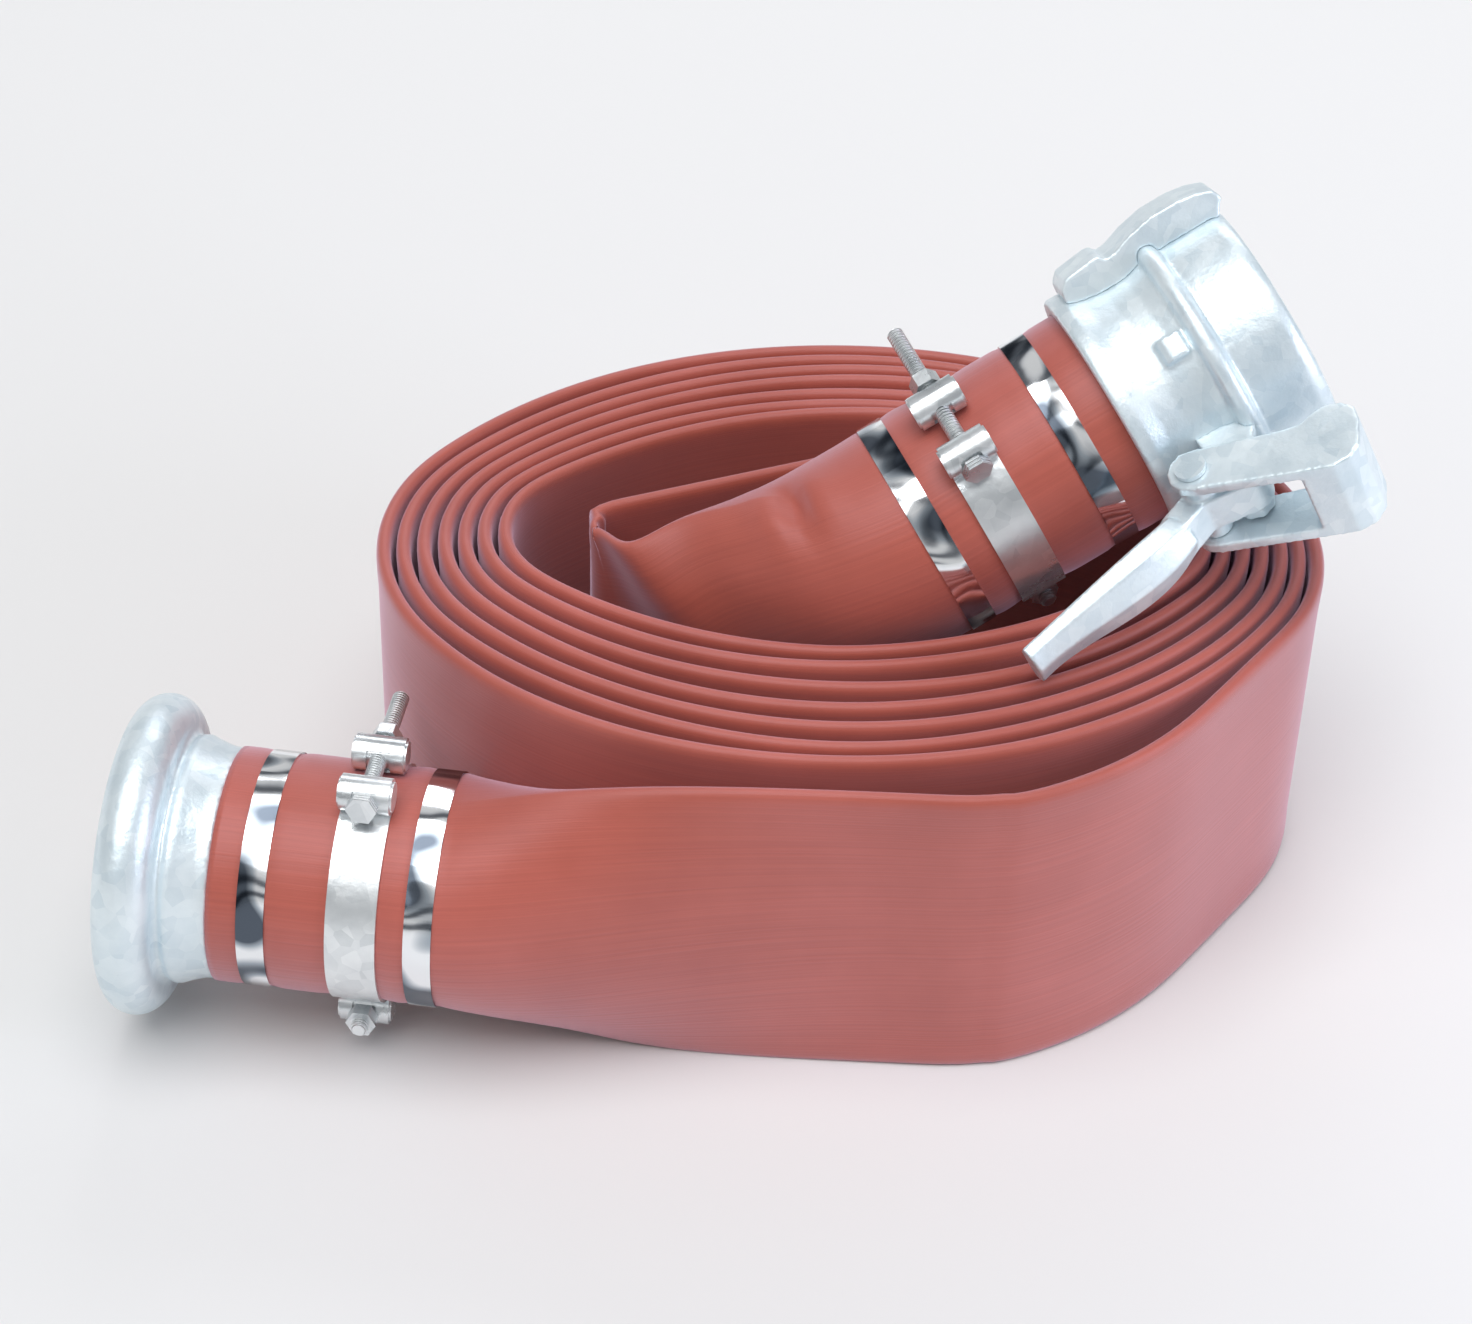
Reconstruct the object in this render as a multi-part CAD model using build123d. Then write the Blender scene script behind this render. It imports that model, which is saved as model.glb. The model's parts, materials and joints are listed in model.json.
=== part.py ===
"""Rolled 4 inch delivery hose with lever-lock couplings, standing on the edge of its coil.

Millimetres, +Z up.  The coupling with the plain collar lies to -X, the coupling with the
lever leans out over +X.  The two ends and the coil are drawn from one datum on the floor, and
at the end everything is moved so that the origin lies below the middle of the whole part.
"""
from build123d import *
from math import atan2, cos, degrees, pi, radians, sin
import os

os.makedirs("parts", exist_ok=True)

# ---- hose -------------------------------------------------------------------------
BORE_R = 51.0                 # inside radius of the round hose
WALL = 3.0
HOSE_R = BORE_R + WALL
GIRTH = 2 * pi * (BORE_R + WALL / 2)
FLAT_T = 2 * WALL             # two walls folded on each other
FLAT_W = GIRTH / 2 + WALL     # height of the coil standing on edge
SLIT = 0.4                    # left between the walls where the hose starts to open
ROUND_T = 2 * HOSE_R - 0.2    # thickness of the last oval before the round sleeve
COLLAR_GRIP, LEVER_GRIP = 104.0, 116.0    # length of round hose pushed over each shank

# ---- coil: arcs about the ends and the sides of an oval, one turn inside the other --------
CENTRE_X = 117.0              # half the distance between the two end centres
COIL_Y = 8.0                  # the outer turn's middle, behind the datum
DRIFT = 2.0                   # how far the middle moves back, each turn
TURNS = 7
# Centreline of the outer turn from the datum, and the pitch to the next turn inwards.
REACH = {"right": (224.0, 8.6), "back": (168.5, 9.3), "left": (223.0, 9.5), "front": (152.5, 13.5)}
ARC_STEPS = 20                # of the search for a side arc that touches both end arcs
# The outer end: straight, a soft kink, a long curve and a straight run on to the coil.
OUTER_HEADING, OUTER_STUB = -4.0, 10.0
KINK_R, KINK = 60.0, 22.0
LEAD_R, LEAD_LEN, COIL_HEADING = 185.0, 70.0, 50.6
# The inner end: off the last turn, straight across the hollow, and doubled back.
LEAVE, INNER_R, INNER_BEND, INNER_LEN = 152.0, 130.0, 47.0, 144.0
HAIRPIN_R, HAIRPIN = 10.0, 150.0

# ---- couplings -----------------------------------------------------------------------
SHANK_BORE = 47.5
BARB_PITCH, BARB_H = 12.4, 1.0
ADAPTER_R = 52.0              # socket of the collar half
RIM_R, RIM_FOOT, RIM_MID = 75.0, 60.0, 37.0
COLLAR_LEN = 50.0
BELL_R, BELL_LEN = 62.0, 85.0
BELL_BORE_R = 56.0            # socket of the lever half
BELL_BORE_LEN = 34.0
RIB_R, RIB_MID = 67.0, 45.0
TAB_ANGLE = -58.0             # of the cast tab behind the rib
SKIRT = 6.0                   # the bell's edge over the hose end
SKIRT_GAP = 0.4
SEAL_W, SEAL_DEEP = 6.0, 2.4
COLLAR_SEAL_Z, BELL_SEAL_Z = 34.0, 62.0

# ---- straps and bolted clamps ----------------------------------------------------------
STRAP_W, STRAP_T = 12.7, 0.8
BUCKLE_ANGLE = 150.0
BUCKLE_H, BUCKLE_L, BUCKLE_EDGE = 3.4, 15.0, 1.2
CLAMP_W, CLAMP_T = 23.0, 1.5
TRUNNION_R = 7.0
TRUNNION_GAP = 32.0           # between the two trunnions of one joint
LOOP_R = TRUNNION_R + CLAMP_T
BOLT_R = 4.0
SLOT = 2 * BOLT_R + 3         # in a loop, for the bolt
BOLT_H = ((HOSE_R + LOOP_R + 0.2) ** 2 - (TRUNNION_GAP / 2) ** 2) ** 0.5  # from the hose axis
NUT_R, NUT_H, HEAD_H = 7.2, 7.0, 5.0
BOLT_FACE = TRUNNION_GAP / 2 + LOOP_R     # where head and nut bear on the loops
BOLT_TIPS = (62.0, 36.0)      # of the long and the short bolt, from the joint's middle

# ---- lever and claw: (radius from the hose axis, distance from the hose edge) -------------
PIN_R, PIN_HEAD_R = 5.0, 7.5
RUN = 0.06                    # radial running clearance of a pin
PIVOT = (80.0, 29.0)
LINK = (78.0, 9.0)
HEAD_R, HEAD_HALF = 11.0, 10.0
BOSS_R, BOSS_HALF = 7.8, 18.2
LUG_IN, LUG_OUT = 10.4, 16.4
CHEEK_IN, CHEEK_OUT = 18.6, 24.8
CLAW_REACH = 78.5             # from the link pin to the end of the claw
CLAW_TILT = 24.8              # degrees outward from the hose axis, hanging free
HOOK_ANGLES = (-120.0, 120.0)
HOOK_HALF = 13.0

# ---- where the two ends lie ---------------------------------------------------------------
COLLAR_EDGE = Vector(-289.9, -123.3, 81.0)
COLLAR_AXIS = Vector(-0.987, 0.160, 0.015).normalized()
COLLAR_BOLT = Vector(0.0, 0.105, 0.995)
COLLAR_STRAPS, COLLAR_CLAMP = (-97.0, -20.5), -66.5
LEVER_EDGE = Vector(125.9, 30.0, 230.0)
LEVER_AXIS = Vector(0.857, 0.260, 0.445).normalized()
LEVER_SIDE = Vector(0.316, -0.947, -0.053)
LEVER_BOLT = Vector(-0.340, -0.361, 0.868)
LEVER_STRAPS, LEVER_CLAMP = (-106.3, -28.5), -74.0
# Half-open sections of the two tails.
OUTER_MID, OUTER_MID_Z, OUTER_MID_T, OUTER_MID_HEADING = (-150.0, -156.0), 81.0, 48.0, 171.0
INNER_MID, INNER_MID_T = (-46.0, -3.0, 130.0), 52.0
INNER_MID_UP, INNER_MID_AHEAD = (-0.5, 0.0, 0.866), (0.866, -0.02, 0.5)


def end_frame(edge, axis, side):
    """Local Z runs along the hose towards the mouth, local X points to the given side."""
    return Plane(origin=edge, x_dir=side - axis * side.dot(axis), z_dir=axis)


def ring(r_in, r_out, z0, z1):
    """A plain ring about local Z."""
    return Pos(0, 0, z0) * extrude(Circle(r_out) - Circle(r_in), amount=z1 - z0)


def rz(points):
    """(radius, distance) pairs as points of the local XZ plane."""
    return [(r, 0, z) for r, z in points]


def line_through(points):
    return Polyline(*rz(points)).edges()


def turned(*edges):
    """A solid of revolution from a closed outline in the local XZ plane."""
    return revolve(make_face(edges), Axis.Z)


def plate(outline, y0, y1):
    """A plate between two distances along local Y, from an outline of (radius, distance)."""
    face = make_face(Polyline(*rz(outline), close=True))
    return Pos(0, y0, 0) * extrude(face, amount=y1 - y0, dir=(0, 1, 0))


def cross_pin(at, r, y0, y1):
    """A cylinder along local Y at (radius, distance)."""
    plane = Plane(origin=(at[0], y0, at[1]), z_dir=(0, 1, 0))
    return plane * Cylinder(r, y1 - y0, align=(Align.CENTER, Align.CENTER, Align.MIN))


# ---------------------------------------------------------------------------------------
# the coil
# ---------------------------------------------------------------------------------------
def step(state, radius, amount):
    """Along an arc that turns left by some degrees, or straight on when there's no radius."""
    (x, y), heading = state
    if radius is None:
        return (x + amount * cos(heading), y + amount * sin(heading)), heading
    after = heading + radians(amount)
    x += radius * (sin(after) - sin(heading))
    y -= radius * (cos(after) - cos(heading))
    return (x, y), after


def reach(side, turn):
    outer, pitch = REACH[side]
    return outer - pitch * turn


def side_arc(first, second, side, turn):
    """Centre and radius of the long arc that touches two end arcs and goes as far as asked."""
    flip = 1 if side == "back" else -1
    (xa, ya, ra), (xb, yb, rb) = [(x, flip * y, r) for x, y, r in (first, second)]
    top, x, y = reach(side, turn), 0.0, 0.0
    for _ in range(ARC_STEPS):
        y = ((top - ra) ** 2 - (xa - x) ** 2 - ya ** 2) / (2 * (top - ra - ya))
        x = (xa ** 2 - xb ** 2 + ya ** 2 - yb ** 2 - (top - ra) ** 2 + (top - rb) ** 2
             - 2 * (ya - yb + ra - rb) * y) / (2 * (xa - xb))
    return x, flip * y, top - y


def coil_arcs():
    """(x, y, radius) of every arc in order of travel: right, back, left, front and round again."""
    ends = []
    for turn in range(TURNS + 1):
        y = COIL_Y + DRIFT * turn
        ends.append((CENTRE_X, y, reach("right", turn) - CENTRE_X))
        ends.append((-CENTRE_X, y, reach("left", turn) - CENTRE_X))
    arcs = []
    for i, (here, there) in enumerate(zip(ends, ends[1:])):
        arcs += [here, side_arc(here, there, ("back", "front")[i % 2], i // 2)]
    return arcs


def joint_angle(here, there):
    """Direction, from either centre, of the point where two touching arcs meet."""
    small, big = sorted((here, there), key=lambda arc: arc[2])
    return degrees(atan2(small[1] - big[1], small[0] - big[0]))


def coil_path():
    """Moves along the centreline from the outer end inwards, and the state before each."""
    arcs = coil_arcs()
    joints = [COIL_HEADING - 90] + [joint_angle(a, b) for a, b in zip(arcs, arcs[1:])] + [LEAVE - 90]
    sweeps = [(after - before) % 360 for before, after in zip(joints, joints[1:])]
    bend = COIL_HEADING - OUTER_HEADING - KINK
    moves = [(None, OUTER_STUB), (KINK_R, KINK), (LEAD_R, bend), (None, LEAD_LEN)]
    lead = len(moves)
    moves += [(arc[2], sweep) for arc, sweep in zip(arcs, sweeps)]
    moves += [(INNER_R, INNER_BEND), (None, INNER_LEN), (HAIRPIN_R, HAIRPIN)]
    states = [((0.0, 0.0), radians(OUTER_HEADING))]
    for radius, amount in moves:
        states.append(step(states[-1], radius, amount))
    (x, y), heading = states[lead]
    cx, cy, r = arcs[0]
    dx, dy = cx - x + r * sin(heading), cy - y - r * cos(heading)
    return moves, [((px + dx, py + dy), h) for (px, py), h in states]


def beside(state, distance):
    (x, y), heading = state
    return (x - distance * sin(heading), y + distance * cos(heading))


def edge_line(moves, states, distance):
    """One face of the flat hose, as tangent lines and arcs beside the centreline."""
    edges = []
    for (radius, amount), before, after in zip(moves, states, states[1:]):
        start, end = beside(before, distance), beside(after, distance)
        if radius is None:
            edges.append(Line(start, end))
        else:
            middle = beside(step(before, radius, amount / 2), distance)
            edges.append(ThreePointArc(start, middle, end))
    return edges


def coil(moves, states):
    half = FLAT_T / 2
    left, right = edge_line(moves, states, half), edge_line(moves, states, -half)
    caps = [Line(beside(s, half), beside(s, -half)) for s in (states[0], states[-1])]
    return extrude(make_face(left + right + caps), amount=FLAT_W)


# ---------------------------------------------------------------------------------------
# the ends of the hose, from flat to round
# ---------------------------------------------------------------------------------------
def oval(plane, thickness, shrink=0.0):
    """The hose squeezed to a thickness: two straight sides and two round edges."""
    middle = thickness - WALL
    height = GIRTH / 2 - pi * middle / 2 + middle + WALL
    return plane * SlotOverall(height - shrink, thickness - shrink)


def hose_end(frame, grip, flat_plane, mid_plane, mid_thickness):
    """Flat hose that opens out, and the round sleeve over the shank."""
    upright = Vector(0, 0, 1)
    across = upright - frame.z_dir * upright.dot(frame.z_dir)
    round_plane = Plane(origin=frame.origin - frame.z_dir * grip, x_dir=across, z_dir=frame.z_dir)
    outside = [oval(flat_plane, FLAT_T), oval(mid_plane, mid_thickness), oval(round_plane, ROUND_T)]
    inside = [oval(flat_plane, FLAT_T, FLAT_T - SLIT), oval(mid_plane, mid_thickness, 2 * WALL),
              oval(round_plane, ROUND_T, 2 * WALL)]
    opening = loft(outside, ruled=True) - loft(inside, ruled=True)
    return Compound(children=[opening, frame.location * ring(BORE_R, HOSE_R, -grip, 0)])


def standing_plane(point, heading, height):
    """A plane square to a heading in plan, with its local X pointing up."""
    return Plane(origin=(point[0], point[1], height), x_dir=(0, 0, 1),
                 z_dir=(cos(heading), sin(heading), 0))


# ---------------------------------------------------------------------------------------
# straps and clamps, in the frame of one end
# ---------------------------------------------------------------------------------------
def strap(z):
    return ring(HOSE_R, HOSE_R + STRAP_T, z - STRAP_W / 2, z + STRAP_W / 2)


def strap_buckle(z):
    """The folded clip that locks the strap's end."""
    block = Box(BUCKLE_H + 1, BUCKLE_L, STRAP_W + 3, align=(Align.MIN, Align.CENTER, Align.CENTER))
    block = fillet(block.edges().filter_by(Axis.Z).group_by(Axis.X)[-1], BUCKLE_EDGE)
    inside = Cylinder(HOSE_R + STRAP_T, 3 * STRAP_W)
    return Rot(0, 0, BUCKLE_ANGLE) * Pos(0, 0, z) * (Pos(HOSE_R - 1, 0, 0) * block - inside)


def clamp_band(z):
    """Half a band on the +Y side, with a slotted loop at each end."""
    beyond = 4 * HOSE_R
    rise = beyond * TRUNNION_GAP / 2 / BOLT_H
    half = make_face(Polyline((0, 0), (beyond, rise), (0, 2 * beyond), (-beyond, rise), close=True))
    low, high = z - CLAMP_W / 2, z + CLAMP_W / 2
    band = ring(HOSE_R, HOSE_R + CLAMP_T, low, high) & Pos(0, 0, low) * extrude(half, amount=CLAMP_W)
    slot = Box(SLOT, 3 * LOOP_R, SLOT)
    loop = ring(TRUNNION_R, LOOP_R, low, high) - Pos(0, 0, z) * slot
    for sign in (1, -1):
        band += Pos(sign * BOLT_H, TRUNNION_GAP / 2, 0) * loop
    return band - Pos(0, 0, z) * Cylinder(HOSE_R, 2 * CLAMP_W)


def both_joints(make):
    """The same hardware at the two joints of a clamp, half a turn apart."""
    return Compound(children=[Rot(0, 0, 180 * side) * piece for side in (0, 1) for piece in make(side)])


def clamp_trunnions(z):
    """Cross pins in the loops, drilled for the bolts."""
    pin = Cylinder(TRUNNION_R, CLAMP_W + 2) - Rot(90, 0, 0) * Cylinder(BOLT_R, 3 * TRUNNION_R)
    return both_joints(lambda side: [Pos(BOLT_H, sign * TRUNNION_GAP / 2, z) * pin for sign in (1, -1)])


def clamp_bolts(z):
    def bolt(side):
        shaft = Cylinder(BOLT_R, BOLT_TIPS[side] + BOLT_FACE, align=(Align.CENTER, Align.CENTER, Align.MIN))
        shaft = chamfer(shaft.edges().group_by(Axis.Z)[-1], 1.0)
        head = Pos(0, 0, -HEAD_H) * extrude(RegularPolygon(NUT_R, 6), amount=HEAD_H)
        return [Plane(origin=(BOLT_H, -BOLT_FACE, z), z_dir=(0, 1, 0)) * (shaft + head)]
    return both_joints(bolt)


def clamp_nuts(z):
    nut = extrude(RegularPolygon(NUT_R, 6) - Circle(BOLT_R), amount=NUT_H)
    return both_joints(lambda side: [Plane(origin=(BOLT_H, BOLT_FACE, z), z_dir=(0, 1, 0)) * nut])


def shank(grip):
    """Welded tail inside the hose, with saw-tooth barbs."""
    root = BORE_R - BARB_H
    outline = [(SHANK_BORE, 0), (root, 0)]
    barbs = int((grip - 4) // BARB_PITCH)
    for barb in range(barbs):
        outline += [(BORE_R, -barb * BARB_PITCH - 1), (root, -(barb + 1) * BARB_PITCH)]
    end = -barbs * BARB_PITCH - 2         # the shank runs a little past the last barb
    return turned(*line_through(outline + [(root - 1, end), (SHANK_BORE, end), (SHANK_BORE, 0)]))


# ---------------------------------------------------------------------------------------
# collar half
# ---------------------------------------------------------------------------------------
def seal_groove(r, z):
    return [(r, z + SEAL_W), (r + SEAL_DEEP, z + SEAL_W), (r + SEAL_DEEP, z), (r, z)]


def seal(r, z):
    return ring(r + 0.2, r + SEAL_DEEP, z, z + SEAL_W)


def collar_body():
    """Flared neck and a rounded rim, with a plain socket at the mouth."""
    neck = [(SHANK_BORE, 0), (HOSE_R - 0.5, 0), (HOSE_R, 6), (56.0, 12), (58.0, 17), (58.0, 19.5),
            (56.8, 20.5), (56.8, 22.5), (RIM_FOOT, 24)]
    rim = ThreePointArc(*rz([(RIM_FOOT, 24), (RIM_R, RIM_MID), (RIM_FOOT, COLLAR_LEN)]))
    mouth = [(RIM_FOOT, COLLAR_LEN), (55.0, COLLAR_LEN), (ADAPTER_R, COLLAR_LEN - 3)]
    mouth += seal_groove(ADAPTER_R, COLLAR_SEAL_Z)
    mouth += [(ADAPTER_R, 24), (SHANK_BORE, 16), (SHANK_BORE, 0)]
    return turned(*line_through(neck), rim, *line_through(mouth))


# ---------------------------------------------------------------------------------------
# lever half
# ---------------------------------------------------------------------------------------
def bell_outside():
    """Edges of the bell's outer surface, from the skirt over the rib to the mouth."""
    rear = [(BELL_R - 1, -SKIRT), (BELL_R, 1.5 - SKIRT), (BELL_R, 1), (59.5, 9), (58.0, 20), (58.5, 31),
            (61.0, RIB_MID - 5)]
    rib = ThreePointArc(*rz([(61.0, RIB_MID - 5), (RIB_R, RIB_MID), (61.6, RIB_MID + 5)]))
    front = [(61.6, RIB_MID + 5), (BELL_R, RIB_MID + 10), (BELL_R, BELL_LEN - 6),
             (BELL_R - 1.4, BELL_LEN - 2), (BELL_R - 3.5, BELL_LEN)]
    return [*line_through(rear), rib, *line_through(front)]


def bell_skin():
    """Everything inside the bell's outer surface, to trim what is welded on."""
    back = line_through([(BELL_R - 3.5, BELL_LEN), (0, BELL_LEN), (0, -SKIRT), (BELL_R - 1, -SKIRT)])
    return turned(*bell_outside(), *back)


def bell_body():
    """Skirt over the hose end, waist, rib and a plain bell with a stepped bore."""
    seat = BELL_LEN - BELL_BORE_LEN
    inside = [(BELL_R - 3.5, BELL_LEN), (BELL_BORE_R + 1, BELL_LEN), (BELL_BORE_R, BELL_LEN - 1)]
    inside += seal_groove(BELL_BORE_R, BELL_SEAL_Z)
    inside += [(BELL_BORE_R, seat), (SHANK_BORE, seat - 16), (SHANK_BORE, 0), (HOSE_R + SKIRT_GAP, 0),
               (HOSE_R + SKIRT_GAP, -SKIRT), (BELL_R - 1, -SKIRT)]
    bell = turned(*bell_outside(), *line_through(inside))
    tab = plate([(57, 24), (62, 25), (64, 28), (64, 37), (57, 37)], -6, 6)
    return bell + Rot(0, 0, TAB_ANGLE) * (tab - bell_skin())


def fixed_hook(angle):
    """Cast hook along the bell: a heel, a notch and a nose that reaches past the mouth."""
    outline = [(57, 1), (67, 2), (71.5, 6), (73.5, 22), (73, 25), (70, 27), (70.5, 32), (74, 42),
               (76.5, 54), (76.5, 68), (75, 78), (72, 86), (67, 88), (64.0, 85.5), (57, 82)]
    hook = plate(outline, -HOOK_HALF, HOOK_HALF) - bell_skin()
    return Rot(0, 0, angle) * hook


def lugs():
    """Two welded ears that carry the lever's pivot pin."""
    r, z = PIVOT
    outline = [(54, z - 10), (r, z - 10), (r + 7, z - 7), (r + 10, z), (r + 7, z + 7), (r, z + 10),
               (70, z + 14), (54, z + 24)]
    trim = bell_skin() + cross_pin(PIVOT, PIN_R, -30, 30)
    return Compound(children=[plate(outline, y0, y0 + LUG_OUT - LUG_IN) - trim for y0 in (LUG_IN, -LUG_OUT)])


def blade_section(at, heading, thick, wide):
    """A section of the handle with a ridge along its outer face."""
    h = radians(heading)
    plane = Plane(origin=(at[0], 0, at[1]), x_dir=(0, 1, 0), z_dir=(sin(h), 0, cos(h)))
    t, w = thick / 2, wide / 2
    half = [(0.6 * w, -t), (w, -0.4 * t), (0.8 * w, 0.5 * t), (0, t)]
    return plane * make_face(Polyline(*half, *[(-x, y) for x, y in reversed(half[:3])], close=True))


def lever():
    """Forged handle: a head on two pins and a blade that sweeps back beside the hose."""
    (r, z), (pr, pz) = LINK, PIVOT
    head = cross_pin(PIVOT, HEAD_R, -HEAD_HALF, HEAD_HALF)
    web = [(r - 6.5, z - 2), (r + 9, z - 5), (pr + 10.8, pz - 2), (pr - 9, pz - 4)]
    neck = [(r - 6.5, z), (r + 9, z - 2), (96, -12), (82, -14)]
    head += plate(web, -HEAD_HALF, HEAD_HALF) + plate(neck, -HEAD_HALF, HEAD_HALF)
    head += cross_pin(LINK, BOSS_R, -BOSS_HALF, BOSS_HALF)
    sections = [((88.0, -8.0), 148, 17, 24), ((95.5, -24.0), 155, 18, 33),
                ((101.5, -50.0), 164, 16, 32), ((111.0, -98.0), 168, 12, 24)]
    blade = loft([blade_section(*section) for section in sections])
    holes = cross_pin(PIVOT, PIN_R + RUN, -40, 40) + cross_pin(LINK, PIN_R + RUN, -40, 40)
    return head + blade - holes


def claw_plate(points, y0, y1):
    """A plate whose outline is (forward, outward) from the link pin, tilted outwards."""
    t = radians(CLAW_TILT)
    outline = [(LINK[0] + f * sin(t) + o * cos(t), LINK[1] + f * cos(t) - o * sin(t)) for f, o in points]
    return plate(outline, y0, y1)


def claw():
    """Two cheeks on the link pin, joined by a web and a hooked end past the mouth."""
    end = CLAW_REACH
    rear = [(0, 11.6), (-6, 10), (-10, 6), (-11.6, 0), (-10, -6), (-6, -10), (0, -11.6)]
    nose = [(end - 8, -21), (end - 2, -17), (end, -9), (end - 0.5, 5), (end - 5, 12), (end - 13, 15.5)]
    side = rear + [(40, -12), (51, -13.5), (58, -19), (63, -21.5)] + nose + [(44, 14.5)]
    web = [(49, 5), (49, 14.5)] + nose[::-1] + [(end - 10, -15), (end - 10, 0), (end - 15, 5)]
    body = claw_plate(side, CHEEK_IN, CHEEK_OUT) + claw_plate(web, -CHEEK_IN, CHEEK_IN)
    body += claw_plate(side, -CHEEK_OUT, -CHEEK_IN)
    return body - cross_pin(LINK, PIN_R + RUN, -40, 40)


def pivot_pin():
    return cross_pin(PIVOT, PIN_R, -LUG_OUT, LUG_OUT)


def link_pin():
    """Pin with a low round head outside each cheek."""
    inner, outer = CHEEK_OUT + 0.3, CHEEK_OUT + 2.8
    body = cross_pin(LINK, PIN_R, -outer, outer)
    return body + cross_pin(LINK, PIN_HEAD_R, inner, outer) + cross_pin(LINK, PIN_HEAD_R, -outer, -inner)


# ---------------------------------------------------------------------------------------
# assembly
# ---------------------------------------------------------------------------------------
collar_frame = end_frame(COLLAR_EDGE, COLLAR_AXIS, COLLAR_BOLT)
lever_frame = end_frame(LEVER_EDGE, LEVER_AXIS, LEVER_SIDE)
# The lever end's clamp is turned round, so that its long bolt points up and back.
lever_clamp_frame = end_frame(LEVER_EDGE, LEVER_AXIS * -1, LEVER_BOLT)

moves, states = coil_path()
outer_flat = standing_plane(states[0][0], states[0][1] + pi, FLAT_W / 2)
outer_mid = standing_plane(OUTER_MID, radians(OUTER_MID_HEADING), OUTER_MID_Z)
inner_flat = standing_plane(*states[-1], FLAT_W / 2)
inner_mid = Plane(origin=INNER_MID, x_dir=INNER_MID_UP, z_dir=INNER_MID_AHEAD)

nodes = {
    "hose_coil": coil(moves, states),
    "hose_outer_tail": hose_end(collar_frame, COLLAR_GRIP, outer_flat, outer_mid, OUTER_MID_T),
    "hose_inner_tail": hose_end(lever_frame, LEVER_GRIP, inner_flat, inner_mid, INNER_MID_T),
}

ends = {
    "collar_end": (collar_frame, COLLAR_STRAPS, COLLAR_CLAMP),
    "lever_end": (lever_clamp_frame, [-z for z in LEVER_STRAPS], -LEVER_CLAMP),
}
for name, (frame, straps, clamp_z) in ends.items():
    for place, z in zip(("rear", "front"), straps):
        nodes[f"{name}_{place}_strap"] = frame.location * strap(z)
        nodes[f"{name}_{place}_buckle"] = frame.location * strap_buckle(z)
    band = clamp_band(clamp_z)
    nodes[f"{name}_clamp_first_band"] = frame.location * band
    nodes[f"{name}_clamp_second_band"] = frame.location * (Rot(0, 0, 180) * band)
    nodes[f"{name}_clamp_trunnions"] = frame.location * clamp_trunnions(clamp_z)
    nodes[f"{name}_clamp_bolts"] = frame.location * clamp_bolts(clamp_z)
    nodes[f"{name}_clamp_nuts"] = frame.location * clamp_nuts(clamp_z)

collar_half = {
    "collar_half_shank": shank(COLLAR_GRIP), "collar_half_body": collar_body(),
    "collar_half_seal": seal(ADAPTER_R, COLLAR_SEAL_Z),
}
lever_half = {
    "lever_half_shank": shank(LEVER_GRIP), "lever_half_bell": bell_body(),
    "lever_half_seal": seal(BELL_BORE_R, BELL_SEAL_Z),
    "upper_fixed_hook": fixed_hook(HOOK_ANGLES[0]), "lower_fixed_hook": fixed_hook(HOOK_ANGLES[1]),
    "lever_lugs": lugs(), "lever_pivot_pin": pivot_pin(), "locking_lever": lever(),
    "claw_link_pin": link_pin(), "closing_claw": claw(),
}
for frame, pieces in ((collar_frame, collar_half), (lever_frame, lever_half)):
    for name, shape in pieces.items():
        nodes[name] = frame.location * shape

# The origin goes to the floor, below the middle of everything.
boxes = [shape.bounding_box() for shape in nodes.values()]
low = Vector(*[min(values) for values in zip(*[box.min for box in boxes])])
high = Vector(*[max(values) for values in zip(*[box.max for box in boxes])])
shift = Vector(-(low.X + high.X) / 2, -(low.Y + high.Y) / 2, -low.Z)

for name, shape in nodes.items():
    export_step(Pos(*shift) * shape, f"parts/{name}.step")

print("shift", shift, "size", high - low)
for label, at in (("lever pivot", PIVOT), ("claw link", LINK)):
    print(label, lever_frame.from_local_coords((at[0], 0, at[1])) + shift, "axis", lever_frame.y_dir)
for label, frame, length in (("collar", collar_frame, COLLAR_LEN), ("lever", lever_frame, BELL_LEN)):
    print(label, "mouth", frame.from_local_coords((0, 0, length)) + shift, "axis", frame.z_dir)
print("hose along the coil", sum(m[1] if m[0] is None else radians(m[1]) * m[0] for m in moves))
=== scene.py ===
"""Rolled 4 inch delivery hose with lever-lock couplings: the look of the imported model."""
import json
from math import atan2, ceil, cos, degrees, exp, pi, radians, sin

import bpy
from mathutils import Matrix, Vector, noise


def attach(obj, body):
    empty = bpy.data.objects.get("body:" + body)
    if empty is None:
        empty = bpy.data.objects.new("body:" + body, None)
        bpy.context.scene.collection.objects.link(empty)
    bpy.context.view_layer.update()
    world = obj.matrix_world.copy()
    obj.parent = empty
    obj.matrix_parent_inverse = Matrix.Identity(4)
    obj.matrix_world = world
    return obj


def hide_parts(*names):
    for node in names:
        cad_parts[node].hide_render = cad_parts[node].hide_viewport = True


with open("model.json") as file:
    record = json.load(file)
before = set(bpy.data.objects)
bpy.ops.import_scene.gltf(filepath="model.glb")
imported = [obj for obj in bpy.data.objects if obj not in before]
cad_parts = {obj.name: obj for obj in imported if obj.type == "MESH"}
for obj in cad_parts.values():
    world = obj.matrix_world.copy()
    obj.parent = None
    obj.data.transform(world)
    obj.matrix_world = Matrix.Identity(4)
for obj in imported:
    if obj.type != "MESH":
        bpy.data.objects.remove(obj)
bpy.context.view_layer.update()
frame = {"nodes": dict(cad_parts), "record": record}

MM = 0.001
ROOT = "hose_and_couplings"
DATUM = Vector((54.538, 11.215, 0.0))      # of the coil's drawing, in the row frame, in mm

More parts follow.
